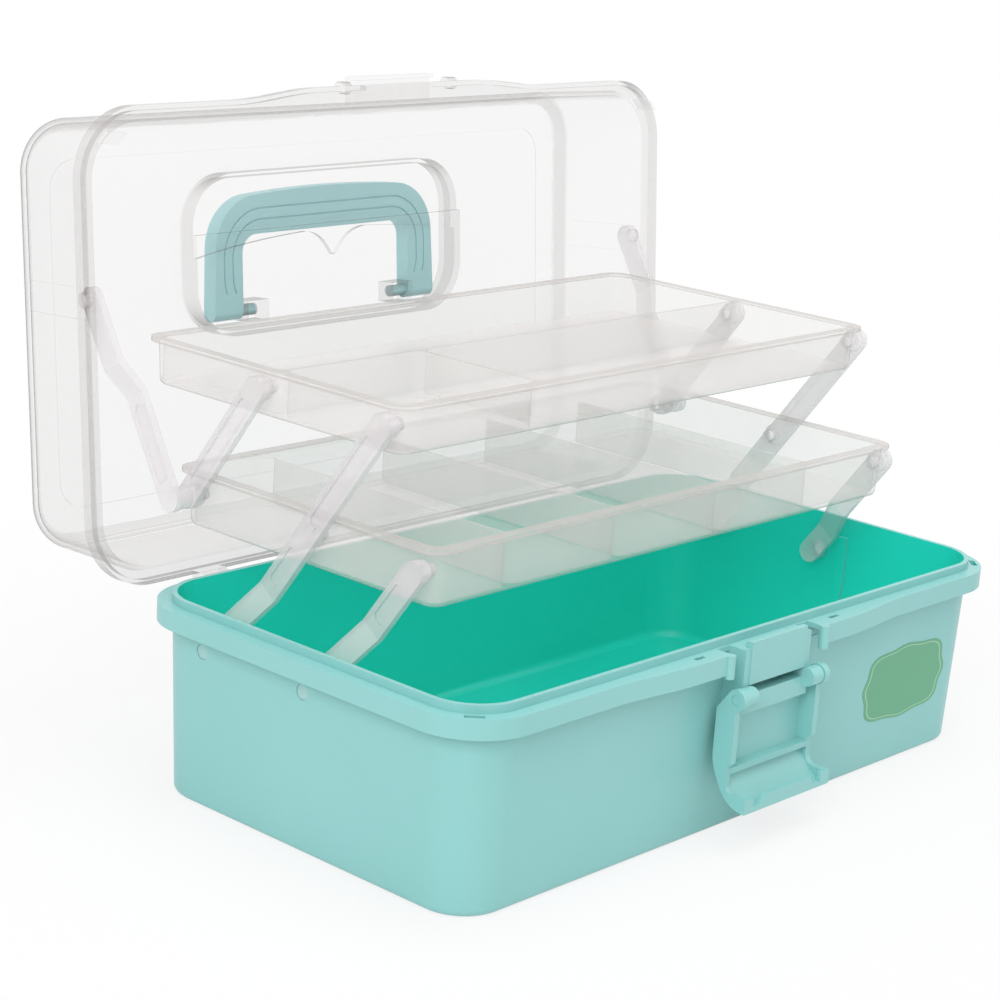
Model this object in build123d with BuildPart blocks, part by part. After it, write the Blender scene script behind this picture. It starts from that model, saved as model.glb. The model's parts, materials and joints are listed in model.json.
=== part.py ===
# Fold-out organiser box: a deep tub, a domed see-through lid, two stacking trays that
# the lid lifts on linked arms, a carry handle in the lid and a swinging front latch.
# Millimetres, +Z up, front towards -Y. The pose drawn is the open one; the lid and all
# that rides on it are drawn in their closed coordinates on planes tilted open.
import os
from math import atan2, cos, degrees, hypot, radians, sin

from build123d import *

os.makedirs("parts", exist_ok=True)

# Tub
inner_rim_x = 160.0
inner_rim_y = 85.5
wall = 2.0
floor_thickness = 2.2
tub_height = 82.0
tub_draft = 2.2
tub_corner = 22.0
draft_inset = tub_height * sin(radians(tub_draft)) / cos(radians(tub_draft))
tub_top_x = inner_rim_x + wall
tub_top_y = inner_rim_y + wall
tub_bottom_x = tub_top_x - draft_inset
tub_bottom_y = tub_top_y - draft_inset
tub_bottom_corner = tub_corner - draft_inset

# Rim shelf and the band that hangs from its edge
shelf_drop = 3.2
shelf_z = tub_height - shelf_drop
shelf_thickness = 2.0
band_height = 7.8
rim_x = 167.5
rim_y = 93.0
rim_corner = 27.0
swell = 3.4
swell_flat = 47.0
swell_end = 92.0
rim_opening_half = 29.0
shelf_slot_x = 42.9
shelf_slot_y = 91.2

# Slots in the rim's corners and the lid's lugs that enter them
lug_centre = (157.5, -83.0)
lug_length = 6.0
lug_thickness = 1.2
lug_play = 0.7

# Lid
seat_gap = 0.3
lid_rim_z = shelf_z + seat_gap
lid_rim_x = 171.0
lid_rim_y = 94.5
lid_rim_corner = 28.0
skirt_depth = 5.5
ledge_depth = 3.5
lid_depth = 54.5
body_low_x = 165.5
body_low_y = 90.0
body_low_corner = 24.0
body_top_x = 162.0
body_top_y = 87.5
body_top_corner = 21.0
catch_reach = 101.5
catch_top = lid_rim_z + 9.4
panel_half = 145.0
panel_back_s = 22.0
panel_front_s = 165.0
open_turn = 95.0
hinge_y = 99.6
hinge_drop = 8.5
hinge_z = shelf_z - hinge_drop

# Linkage, side view
base_pin_drop = 17.5
base_rear_pin = (55.8, tub_height - base_pin_drop)
base_pin_spacing = 56.0
lower_reach = 64.8
upper_reach = 61.8
rear_pin_spacing = 67.4
arm_lean = 36.0
lid_pin_depth = 8.9052
lid_pin_closed = (-20.5, lid_rim_z + lid_pin_depth)

# Trays
tray_x = 143.3
tray_y = 72.4
tray_lip = 2.5
tray_wall = 1.6
tray_corner = 9.0
lower_depth = 23.0
upper_depth = 19.0
lower_pin_drop = 9.3
upper_pin_drop = 7.5
lower_centre_from_mid_pin = 7.6
upper_centre_from_front_pin = 64.8
lower_dividers = (-98.0, -36.0, 27.0, 88.0)

# Arms and pegs
arm_width = 10.0
arm_thickness = 3.2
hub_radius = 4.6
tray_peg_radius = 2.5
wall_peg_radius = 3.0
running_clearance = 0.08
side_gap = 0.3
rim_gap = 0.4
joggle_offset = 8.3
link_step = 5.4
inner_layer = tray_x + rim_gap
outer_face = inner_layer + arm_thickness
base_layer = inner_layer + joggle_offset
link_layer = outer_face + side_gap + link_step
tub_lean = draft_inset / tub_height
wall_at_pin = inner_rim_x - (base_pin_drop + hub_radius) * tub_lean
base_hub_face = wall_at_pin - side_gap
base_peg_tip = wall_at_pin + wall - 0.2
lid_lean = (body_low_x - body_top_x) / (lid_depth - ledge_depth)
lid_at_pin = body_low_x - wall - (lid_pin_depth + hub_radius - ledge_depth + 0.5) * lid_lean
lid_hub_face = lid_at_pin - side_gap
lid_peg_tip = lid_at_pin + wall + 0.4
lid_layer = lid_hub_face - arm_thickness - 0.4

# Handle
handle_half = 66.0
handle_inner_half = 50.0
handle_pivot_s = 96.0
handle_grip_s = 128.7
handle_top_s = 145.5
handle_thickness = 7.4
handle_low_depth = 46.8
handle_peg_radius = 2.5
bracket_width = 12.0
bracket_half = handle_inner_half - side_gap - 0.5 * bracket_width
peg_reach = 8.5

# Latch
latch_pivot_y = -98.5
latch_pivot_drop = 18.3
latch_pivot_z = shelf_z - latch_pivot_drop
latch_pin_radius = 2.0
post_half_in = 17.5
post_half_out = 21.0
flange_in = 24.5
flange_out = 27.5
ear_radius = 4.3
lip_reach = 8.6
lever_length = 44.2
lever_skin = 2.0
plate_front = 96.9
boss_radius = 3.8
crossbar_drop = 8.0
flange_step = 26.0
hook_drop = 28.6
hook_reach = 6.6
finger_drop = 38.4

# Hinge
hinge_x = 110.0
knuckle_half = 7.0
knuckle_radius = 4.3
lug_width = 4.5
hinge_pin_radius = 1.6

# Tilted planes: closed coordinates of the lid, drawn where the open lid stands
tilt_c = cos(radians(open_turn))
tilt_s = sin(radians(open_turn))
lid_origin = (
    0,
    hinge_y - hinge_y * tilt_c - hinge_z * tilt_s,
    hinge_z + hinge_y * tilt_s - hinge_z * tilt_c,
)
lid_plane = Plane(origin=lid_origin, x_dir=(1, 0, 0), z_dir=(0, tilt_s, tilt_c))
lid_side = Plane(origin=lid_origin, x_dir=(0, tilt_c, -tilt_s), z_dir=(1, 0, 0))
lid_section = Plane(origin=lid_origin, x_dir=(1, 0, 0), z_dir=(0, -tilt_c, tilt_s))
depth_axis = Axis(lid_origin, (0, tilt_s, tilt_c))

# Pin centres in the open pose
lean_y = sin(radians(arm_lean))
lean_z = cos(radians(arm_lean))
base_front_pin = (base_rear_pin[0] - base_pin_spacing, base_rear_pin[1])
lower_front_pin = (base_front_pin[0] - lower_reach * lean_y, base_front_pin[1] + lower_reach * lean_z)
lower_mid_pin = (base_rear_pin[0] - lower_reach * lean_y, base_rear_pin[1] + lower_reach * lean_z)
upper_front_pin = (lower_mid_pin[0] - upper_reach * lean_y, lower_mid_pin[1] + upper_reach * lean_z)
lower_rear_pin = (lower_mid_pin[0] + rear_pin_spacing, lower_mid_pin[1])
upper_rear_pin = (upper_front_pin[0] + rear_pin_spacing, upper_front_pin[1])
lid_pin = (
    hinge_y + (lid_pin_closed[0] - hinge_y) * tilt_c + (lid_pin_closed[1] - hinge_z) * tilt_s,
    hinge_z - (lid_pin_closed[0] - hinge_y) * tilt_s + (lid_pin_closed[1] - hinge_z) * tilt_c,
)

# Swelled strip that the rims carry ahead of their straight front edge (front edge at 0)
with BuildSketch() as front_swell:
    with BuildLine():
        Spline((-swell_end, 0), (-swell_flat, -swell), tangents=((1, 0), (1, 0)))
        Line((-swell_flat, -swell), (swell_flat, -swell))
        Spline((swell_flat, -swell), (swell_end, 0), tangents=((1, 0), (1, 0)))
        Line((swell_end, 0), (swell_end, 1))
        Line((swell_end, 1), (-swell_end, 1))
        Line((-swell_end, 1), (-swell_end, 0))
    make_face()

# Base tub
with BuildPart() as tub_cavity:
    with BuildSketch(Plane.XY.offset(floor_thickness)):
        floor_inset = floor_thickness * draft_inset / tub_height - wall
        RectangleRounded(
            2 * (tub_bottom_x + floor_inset),
            2 * (tub_bottom_y + floor_inset),
            tub_bottom_corner - wall,
        )
    extrude(amount=tub_height, taper=-tub_draft)
    fillet(tub_cavity.faces().sort_by(Axis.Z)[0].edges(), radius=4)

with BuildPart() as base_tub:
    with BuildSketch():
        RectangleRounded(2 * tub_bottom_x, 2 * tub_bottom_y, tub_bottom_corner)
    extrude(amount=tub_height, taper=-tub_draft)
    fillet(base_tub.faces().sort_by(Axis.Z)[0].edges(), radius=3)
    # Shelf and band
    with BuildSketch(Plane.XY.offset(shelf_z - band_height)):
        RectangleRounded(2 * rim_x, 2 * rim_y, rim_corner)
        with Locations((0, -rim_y)):
            add(front_swell.sketch)
    extrude(amount=band_height)
    with BuildSketch(Plane.XY.offset(shelf_z - band_height)):
        RectangleRounded(2 * (rim_x - wall), 2 * (rim_y - wall), rim_corner - wall)
        with Locations((0, wall - rim_y)):
            add(front_swell.sketch)
        RectangleRounded(
            2 * tub_top_x - 1.4,
            2 * tub_top_y - 1.4,
            tub_corner - 0.7,
            mode=Mode.SUBTRACT,
        )
    extrude(amount=band_height - shelf_thickness, mode=Mode.SUBTRACT)
    add(tub_cavity.part, mode=Mode.SUBTRACT)
    # Raised panel on the floor
    with BuildSketch(Plane.XY.offset(floor_thickness - 0.2)):
        RectangleRounded(2 * tub_bottom_x - 36, 2 * tub_bottom_y - 36, 10)
    extrude(amount=1.0)
    # Opening of the rim around the latch
    with BuildSketch(Plane.XY.offset(shelf_z - band_height - 1)):
        with Locations((0, -rim_y - 1.5)):
            Rectangle(2 * rim_opening_half, 12)
    extrude(amount=band_height + 2, mode=Mode.SUBTRACT)
    # Rounded nubs that end the band
    with BuildSketch(Plane.XY.offset(shelf_z - band_height - 1.5)):
        with Locations(
            (-rim_opening_half - 1.2, swell - rim_y - 6.6), (rim_opening_half + 1.2, swell - rim_y - 6.6)
        ):
            Circle(2.0)
    extrude(amount=band_height + 1.5)
    # Corner slots for the lid's lugs, and the small slots beside the latch
    with BuildSketch(Plane.XY.offset(shelf_z - shelf_thickness - 1)):
        with Locations(lug_centre):
            Rectangle(lug_length + 2 * lug_play, lug_thickness + 2 * lug_play - 0.2, rotation=45)
        with Locations((-lug_centre[0], lug_centre[1])):
            Rectangle(lug_length + 2 * lug_play, lug_thickness + 2 * lug_play - 0.2, rotation=-45)
        with Locations((-shelf_slot_x, -shelf_slot_y), (shelf_slot_x, -shelf_slot_y)):
            Rectangle(6.0, 1.8)
    extrude(amount=shelf_thickness + 2, mode=Mode.SUBTRACT)
    # Latch bracket: two gussets, their pivot bosses, the hanging plate and the crossbar
    crossbar_z = latch_pivot_z - crossbar_drop
    plate_z = latch_pivot_z + boss_radius
    for side in (-1, 1):
        with BuildSketch(Plane.YZ.offset(side * 0.5 * (post_half_in + post_half_out))):
            Polygon(
                (-85.6, crossbar_z), (0.5 - plate_front, crossbar_z), (0.5 - plate_front, shelf_z),
                (-85.9, shelf_z),
                align=None,
            )
        extrude(amount=0.5 * (post_half_out - post_half_in), both=True)
        with BuildSketch(Plane.YZ.offset(side * post_half_in)):
            with Locations((latch_pivot_y, latch_pivot_z)):
                Circle(boss_radius)
        extrude(amount=side * (flange_in - side_gap - post_half_in))
        with BuildSketch(Plane.YZ.offset(side * post_half_out)):
            with Locations((latch_pivot_y, latch_pivot_z)):
                Circle(latch_pin_radius)
        extrude(amount=side * (flange_out - 0.2 - post_half_out))
    with BuildSketch(Plane.YZ):
        Polygon(
            (3.5 - plate_front, plate_z), (-plate_front, plate_z), (-plate_front, shelf_z + 2.6),
            (2.5 - plate_front, shelf_z + 2.6), (3.5 - plate_front, shelf_z + 1.6),
            align=None,
        )
    extrude(amount=post_half_in + 0.2, both=True)
    with BuildSketch(Plane.YZ):
        Polygon(
            (-85.9, shelf_z - wall), (2.9 - plate_front, shelf_z - wall), (2.9 - plate_front, shelf_z),
            (-85.9, shelf_z),
            align=None,
        )
    extrude(amount=post_half_out - 0.2, both=True)
    with BuildSketch(Plane.YZ):
        Polygon(
            (4.3 - plate_front, crossbar_z), (0.5 - plate_front, crossbar_z),
            (0.5 - plate_front, latch_pivot_z - 0.2), (4.3 - plate_front, latch_pivot_z - 0.2),
            align=None,
        )
    extrude(amount=post_half_in + 0.2, both=True)
    # Locating ribs on the inner end walls
    rib_low = floor_thickness + 3
    rib_high = tub_height - 9
    rib_low_x = inner_rim_x - (tub_height - rib_low) * tub_lean
    rib_high_x = inner_rim_x - (tub_height - rib_high) * tub_lean
    for side in (-1, 1):
        with BuildSketch(Plane.XZ.offset(13.5)):
            Polygon(
                (side * (rib_low_x - 1.8), rib_low), (side * (rib_low_x + 1), rib_low),
                (side * (rib_high_x + 1), rib_high), (side * (rib_high_x - 0.8), rib_high),
                align=None,
            )
        extrude(amount=2.5, both=True)
    # Peg holes of the arms
    for pin in (base_rear_pin, base_front_pin):
        with BuildSketch(Plane.YZ):
            with Locations(pin):
                Circle(wall_peg_radius + running_clearance)
        extrude(amount=tub_top_x + 3, both=True, mode=Mode.SUBTRACT)
    # Hinge lugs
    for centre in (-hinge_x, hinge_x):
        for side in (-1, 1):
            with BuildSketch(
                Plane.YZ.offset(centre + side * (knuckle_half + side_gap + 0.5 * lug_width))
            ):
                Polygon(
                    (rim_y - 1.4, shelf_z - 0.4), (hinge_y - 4.2, shelf_z - 0.6),
                    (hinge_y + 2.8, hinge_z + 3.2), (hinge_y, hinge_z - knuckle_radius),
                    (rim_y - 1.4, shelf_z - 7.6),
                    align=None,
                )
                with Locations((hinge_y, hinge_z)):
                    Circle(knuckle_radius)
                    Circle(hinge_pin_radius + running_clearance, mode=Mode.SUBTRACT)
            extrude(amount=0.5 * lug_width, both=True)

base_tub.part.label = "base_tub"
export_step(base_tub.part, "parts/base_tub.step")

# Hinge pins
with BuildPart() as hinge_pin_right:
    with BuildSketch(Plane.YZ.offset(hinge_x)):
        with Locations((hinge_y, hinge_z)):
            Circle(hinge_pin_radius)
    extrude(amount=knuckle_half + side_gap + lug_width, both=True)
with BuildPart() as hinge_pin_left:
    mirror(hinge_pin_right.part, about=Plane.YZ)
for pin_part, name in ((hinge_pin_right.part, "right"), (hinge_pin_left.part, "left")):
    pin_part.label = "hinge_pin_" + name
    export_step(pin_part, "parts/hinge_pin_" + name + ".step")

# Lid
recess_back_s = 88.5
recess_front_s = 153.5
recess_half = 77.5
recess_floor = 46.4
well_floor = 44.0
well_x = recess_half + 1
well_back_y = lid_rim_y - recess_back_s + 4
well_left_y = lid_rim_y - 120.8
well_right_y = lid_rim_y - 122.4
well_crest_y = lid_rim_y - 128.0
tongue_y = lid_rim_y - 116.6
recess_y = lid_rim_y - 0.5 * (recess_back_s + recess_front_s)
recess_length = recess_front_s - recess_back_s
pivot_y = lid_rim_y - handle_pivot_s
pivot_z = lid_rim_z + handle_low_depth + 0.5 * handle_thickness

with BuildPart() as lid_cavity:
    with BuildSketch(lid_plane.offset(lid_rim_z + ledge_depth - 0.5)):
        RectangleRounded(2 * (body_low_x - wall), 2 * (body_low_y - wall), body_low_corner - wall)
    with BuildSketch(lid_plane.offset(lid_rim_z + lid_depth - wall)):
        RectangleRounded(2 * (body_top_x - wall), 2 * (body_top_y - wall), body_top_corner - wall)
    loft()
    fillet(lid_cavity.faces().sort_by(depth_axis)[-1].edges(), radius=5)

with BuildPart() as lid:
    with BuildSketch(lid_plane.offset(lid_rim_z + ledge_depth)):
        RectangleRounded(2 * body_low_x, 2 * body_low_y, body_low_corner)
    with BuildSketch(lid_plane.offset(lid_rim_z + lid_depth)):
        RectangleRounded(2 * body_top_x, 2 * body_top_y, body_top_corner)
    loft()
    fillet(lid.faces().sort_by(depth_axis)[-1].edges(), radius=7)
    # Skirt around the rim
    with BuildSketch(lid_plane.offset(lid_rim_z)):
        RectangleRounded(2 * lid_rim_x, 2 * lid_rim_y, lid_rim_corner)
        with Locations((0, -lid_rim_y)):
            add(front_swell.sketch)
    extrude(amount=skirt_depth)
    with BuildSketch(lid_plane.offset(lid_rim_z)):
        RectangleRounded(2 * (lid_rim_x - wall), 2 * (lid_rim_y - wall), lid_rim_corner - wall)
        with Locations((0, wall - lid_rim_y)):
            add(front_swell.sketch)
    extrude(amount=ledge_depth, mode=Mode.SUBTRACT)
    add(lid_cavity.part, mode=Mode.SUBTRACT)
    # Handle recess: a thick floor is put in, then the pocket is taken out of it
    with BuildSketch(lid_plane.offset(lid_rim_z + well_floor - wall)):
        with Locations((0, recess_y)):
            RectangleRounded(2 * (recess_half + wall), recess_length + 2 * wall, 22)
    extrude(amount=lid_depth - well_floor + 0.5)
    with BuildSketch(lid_plane.offset(lid_rim_z + recess_floor)):
        with Locations((0, recess_y)):
            RectangleRounded(2 * recess_half, recess_length, 20)
    extrude(amount=lid_depth - recess_floor + 1, mode=Mode.SUBTRACT)
    # Finger well in the back of the recess, with an S-shaped tongue left standing in its edge
    with BuildSketch(lid_plane.offset(lid_rim_z + well_floor)):
        with BuildLine():
            Line((-well_x, well_back_y), (-well_x, well_left_y))
            Spline((-well_x, well_left_y), (-15, well_crest_y), tangents=((1, -0.2), (1, -0.05)))
            Spline((-15, well_crest_y), (1, tongue_y), (20.4, well_crest_y), tangents=((1, 0.1), (1, -0.05)))
            Spline((20.4, well_crest_y), (well_x, well_right_y), tangents=((1, 0.05), (1, 0.2)))
            Line((well_x, well_right_y), (well_x, well_back_y))
            Line((well_x, well_back_y), (-well_x, well_back_y))
        make_face()
        with Locations((0, recess_y)):
            RectangleRounded(2 * recess_half, recess_length, 20, mode=Mode.INTERSECT)
    extrude(amount=recess_floor - well_floor + 0.2, mode=Mode.SUBTRACT)
    # Underside of the recess ahead of the well
    with BuildSketch(lid_plane.offset(lid_rim_z + well_floor - wall - 0.5)):
        with Locations((0, lid_rim_y - 0.5 * (131 + recess_front_s + 4))):
            Rectangle(2 * recess_half + 8, recess_front_s + 4 - 131)
    extrude(amount=recess_floor - well_floor + 0.5, mode=Mode.SUBTRACT)
    # Shallow panel on the top
    with BuildSketch(lid_plane.offset(lid_rim_z + lid_depth - 0.5)):
        with Locations((0, lid_rim_y - 0.5 * (panel_back_s + panel_front_s))):
            RectangleRounded(2 * panel_half, panel_front_s - panel_back_s, 12)
    extrude(amount=1, mode=Mode.SUBTRACT)
    # Handle brackets
    with BuildSketch(lid_plane.offset(lid_rim_z + well_floor - 0.5)):
        with Locations((-bracket_half, pivot_y), (bracket_half, pivot_y)):
            Rectangle(bracket_width, 9.0)
    extrude(amount=handle_low_depth + handle_thickness - well_floor)
    for side in (-1, 1):
        with BuildSketch(lid_side.offset(side * (handle_inner_half - peg_reach - 0.5))):
            with Locations((pivot_y, pivot_z)):
                Circle(handle_peg_radius + running_clearance)
        extrude(amount=side * (peg_reach + 1), mode=Mode.SUBTRACT)
    # Flat bands on the end walls around the link pegs
    for side in (-1, 1):
        with BuildSketch(lid_section.offset(19.1)):
            Polygon(
                (side * (body_low_x + 0.6), lid_rim_z + ledge_depth),
                (side * (body_low_x + 0.6 - 44 * lid_lean), lid_rim_z + ledge_depth + 44),
                (side * (body_low_x - 0.8 - 44 * lid_lean), lid_rim_z + ledge_depth + 44),
                (side * (body_low_x - 0.8), lid_rim_z + ledge_depth),
                align=None,
            )
        extrude(amount=6.1, both=True)
    # Latch notch and catch ledge
    with BuildSketch(lid_plane.offset(lid_rim_z - 1)):
        with Locations((0, -lid_rim_y - 2.5)):
            Rectangle(41.4, 10)
    extrude(amount=ledge_depth + 1, mode=Mode.SUBTRACT)
    with BuildSketch(lid_side):
        Polygon(
            (1 - body_low_y, catch_top - 2.2), (1.8 - catch_reach, catch_top - 2.2),
            (1.8 - catch_reach, catch_top - 4.5), (-catch_reach, catch_top - 4.5),
            (-catch_reach, catch_top), (1 - body_low_y, catch_top),
            align=None,
        )
    extrude(amount=flange_in - side_gap, both=True)
    for rib_x in (-18, -6, 6, 18):
        with BuildSketch(lid_side.offset(rib_x)):
            Polygon(
                (0.8 - body_low_y, catch_top - 4.3), (3.9 - catch_reach, catch_top - 4.3),
                (3.9 - catch_reach, catch_top - 1.9), (0.8 - body_low_y, catch_top - 1.9),
                align=None,
            )
        extrude(amount=0.8, both=True)
    with BuildSketch(lid_plane.offset(lid_rim_z)):
        with Locations((-31.5, -lid_rim_y - 2.7), (31.5, -lid_rim_y - 2.7)):
            Circle(2.6)
    extrude(amount=skirt_depth)
    # Corner lugs that enter the rim's slots
    with BuildSketch(lid_plane.offset(lid_rim_z - 8)):
        with Locations(lug_centre):
            Rectangle(lug_length, lug_thickness, rotation=45)
        with Locations((-lug_centre[0], lug_centre[1])):
            Rectangle(lug_length, lug_thickness, rotation=-45)
    extrude(amount=8 + ledge_depth + 0.5)
    # Hinge knuckles
    knuckle_top = lid_rim_z + skirt_depth - 0.2
    for centre in (-hinge_x, hinge_x):
        with BuildSketch(lid_side.offset(centre)):
            Polygon(
                (lid_rim_y - 1.1, lid_rim_z + 0.3), (lid_rim_y - 1.1, knuckle_top),
                (hinge_y - 1, knuckle_top), (hinge_y + knuckle_radius, hinge_z + 0.7),
                (hinge_y, hinge_z - knuckle_radius + 0.2), (hinge_y - knuckle_radius, hinge_z),
                (hinge_y - knuckle_radius, lid_rim_z + 0.3),
                align=None,
            )
            with Locations((hinge_y, hinge_z)):
                Circle(knuckle_radius)
                Circle(hinge_pin_radius + running_clearance, mode=Mode.SUBTRACT)
        extrude(amount=knuckle_half, both=True)
    # Peg holes of the lid links
    with BuildSketch(lid_side):
        with Locations(lid_pin_closed):
            Circle(wall_peg_radius + running_clearance)
    extrude(amount=lid_rim_x, both=True, mode=Mode.SUBTRACT)

lid.part.label = "lid"
export_step(lid.part, "parts/lid.step")

# Carry handle
grip_y = lid_rim_y - handle_grip_s
top_y = lid_rim_y - handle_top_s
half_depth = 0.5 * handle_thickness
with BuildPart() as carry_handle:
    with BuildSketch(lid_plane.offset(pivot_z - half_depth)) as handle_sketch:
        with BuildLine():
            Polyline((-handle_inner_half, pivot_y), (-handle_inner_half, grip_y))
            Line((-handle_inner_half, grip_y), (handle_inner_half, grip_y))
            Polyline((handle_inner_half, grip_y), (handle_inner_half, pivot_y))
            Line((handle_inner_half, pivot_y), (handle_half, pivot_y))
            Line((handle_half, pivot_y), (handle_half - 2, top_y + 2))
            ThreePointArc((handle_half - 2, top_y + 2), (0, top_y - 1.5), (2 - handle_half, top_y + 2))
            Line((2 - handle_half, top_y + 2), (-handle_half, pivot_y))
            Line((-handle_half, pivot_y), (-handle_inner_half, pivot_y))
        make_face()
        fillet(handle_sketch.vertices().filter_by_position(Axis.Y, top_y, top_y + 4), radius=23)
        fillet(handle_sketch.vertices().filter_by_position(Axis.Y, grip_y - 1, grip_y + 1), radius=8)
    extrude(amount=handle_thickness)
    # Two grooves that follow the outline, on both faces
    for inset, face_z in ((5.4, -1), (10.2, -1), (5.4, 1), (10.2, 1)):
        with BuildSketch(lid_plane.offset(pivot_z + face_z * (half_depth - 0.8))):
            with Locations((0, 0.5 * (pivot_y + top_y) + 6)):
                RectangleRounded(
                    2 * (handle_half - inset),
                    pivot_y - top_y + 12 - 2 * inset,
                    27 - inset,
                )
                RectangleRounded(
                    2 * (handle_half - inset) - 1.6,
                    pivot_y - top_y + 10.4 - 2 * inset,
                    26.2 - inset,
                    mode=Mode.SUBTRACT,
                )
            with Locations((0, pivot_y + 6)):
                Rectangle(2 * handle_half, 28, mode=Mode.SUBTRACT)
        extrude(amount=face_z * 1.5, mode=Mode.SUBTRACT)
    # Round leg ends on the pivot axis, and the stub pegs
    for side in (-1, 1):
        with BuildSketch(lid_side.offset(side * handle_inner_half)):
            with Locations((pivot_y, pivot_z)):
                Circle(half_depth)
        extrude(amount=side * (handle_half - handle_inner_half))
        with BuildSketch(lid_side.offset(side * (handle_inner_half + 1))):
            with Locations((pivot_y, pivot_z)):
                Circle(handle_peg_radius)
        extrude(amount=-side * (peg_reach + 1))

carry_handle.part.label = "carry_handle"
export_step(carry_handle.part, "parts/carry_handle.step")

# Latch lever, hanging
with BuildPart() as latch_lever:
    for side in (-1, 1):
        with BuildSketch(Plane.YZ.offset(side * flange_in)):
            with BuildLine():
                Polyline(
                    (latch_pivot_y - 0.3, latch_pivot_z + 2.0),
                    (latch_pivot_y - 0.3, latch_pivot_z - flange_step),
                    (latch_pivot_y + 1.8, latch_pivot_z - flange_step - 2.0),
                    (latch_pivot_y + 1.6, latch_pivot_z - flange_step - 8.0),
                )
                Spline(
                    (latch_pivot_y + 1.6, latch_pivot_z - flange_step - 8.0),
                    (latch_pivot_y - 3.0, latch_pivot_z - finger_drop),
                    tangents=((0, -1), (-1, 0)),
                )
                Polyline(
                    (latch_pivot_y - 3.0, latch_pivot_z - finger_drop),
                    (latch_pivot_y - lip_reach, latch_pivot_z - finger_drop),
                    (latch_pivot_y - lip_reach, latch_pivot_z - lever_length),
                )
                Spline(
                    (latch_pivot_y - lip_reach, latch_pivot_z - lever_length),
                    (latch_pivot_y + 1.2, latch_pivot_z - 40.4),
                    (latch_pivot_y + 7.0, latch_pivot_z - 31.0),
                    (latch_pivot_y + 8.8, latch_pivot_z - 22.0),
                    tangents=((1, 0.05), (0, 1)),
                )
                Polyline(
                    (latch_pivot_y + 8.8, latch_pivot_z - 22.0),
                    (latch_pivot_y + 8.8, latch_pivot_z - 5.0),
                    (latch_pivot_y + 3.4, latch_pivot_z + 2.4),
                    (latch_pivot_y - 0.3, latch_pivot_z + 2.0),
                )
            make_face()
            with Locations((latch_pivot_y, latch_pivot_z)):
                Circle(ear_radius)
                Circle(latch_pin_radius + running_clearance, mode=Mode.SUBTRACT)
        extrude(amount=side * (flange_out - flange_in))
    # Skin between the flanges, curling forward into the finger lip
    with BuildSketch(Plane.YZ):
        with BuildLine():
            Line((latch_pivot_y + 6.8, latch_pivot_z - 9), (latch_pivot_y + 6.8, latch_pivot_z - 22.0))
            Spline(
                (latch_pivot_y + 6.8, latch_pivot_z - 22.0),
                (latch_pivot_y + 5.2, latch_pivot_z - 30.6),
                (latch_pivot_y - 0.2, latch_pivot_z - 38.6),
                (latch_pivot_y - lip_reach, latch_pivot_z - lever_length + lever_skin),
                tangents=((0, -1), (-1, -0.05)),
            )
            Line(
                (latch_pivot_y - lip_reach, latch_pivot_z - lever_length + lever_skin),
                (latch_pivot_y - lip_reach, latch_pivot_z - lever_length),
            )
            Spline(
                (latch_pivot_y - lip_reach, latch_pivot_z - lever_length),
                (latch_pivot_y + 1.2, latch_pivot_z - 40.4),
                (latch_pivot_y + 7.0, latch_pivot_z - 31.0),
                (latch_pivot_y + 8.8, latch_pivot_z - 22.0),
                tangents=((1, 0.05), (0, 1)),
            )
            Line((latch_pivot_y + 8.8, latch_pivot_z - 22.0), (latch_pivot_y + 8.8, latch_pivot_z - 9))
            Line((latch_pivot_y + 8.8, latch_pivot_z - 9), (latch_pivot_y + 6.8, latch_pivot_z - 9))
        make_face()
    extrude(amount=flange_in + 0.2, both=True)
    # Raised middle of the lip, and the tabs in its corners
    with BuildSketch(Plane.XZ.offset(lip_reach - latch_pivot_y)):
        Polygon(
            (-18.5, latch_pivot_z - lever_length + 0.2), (18.5, latch_pivot_z - lever_length + 0.2),
            (14.0, latch_pivot_z - finger_drop), (-14.0, latch_pivot_z - finger_drop),
            align=None,
        )
        with Locations((-flange_in + 1, latch_pivot_z - 41.2), (flange_in - 1, latch_pivot_z - 41.2)):
            Rectangle(3.6, 5.6)
    extrude(amount=-1.8)
    # Hook rib that holds the lid's catch ledge down
    with BuildSketch(Plane.YZ):
        Polygon(
            (latch_pivot_y + 1.5, latch_pivot_z - hook_drop),
            (latch_pivot_y + hook_reach, latch_pivot_z - hook_drop),
            (latch_pivot_y + hook_reach - 1.2, latch_pivot_z - hook_drop - 3.9),
            (latch_pivot_y + 1.5, latch_pivot_z - hook_drop - 2.4),
            align=None,
        )
    extrude(amount=flange_in + 0.2, both=True)

latch_lever.part.label = "latch_lever"
export_step(latch_lever.part, "parts/latch_lever.step")

# Trays
lower_rim_z = lower_mid_pin[1] + lower_pin_drop
upper_rim_z = upper_front_pin[1] + upper_pin_drop
lower_y = lower_mid_pin[0] + lower_centre_from_mid_pin
upper_y = upper_front_pin[0] + upper_centre_from_front_pin
tray_draft = 3.0
tray_holes = tray_peg_radius + running_clearance

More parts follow.
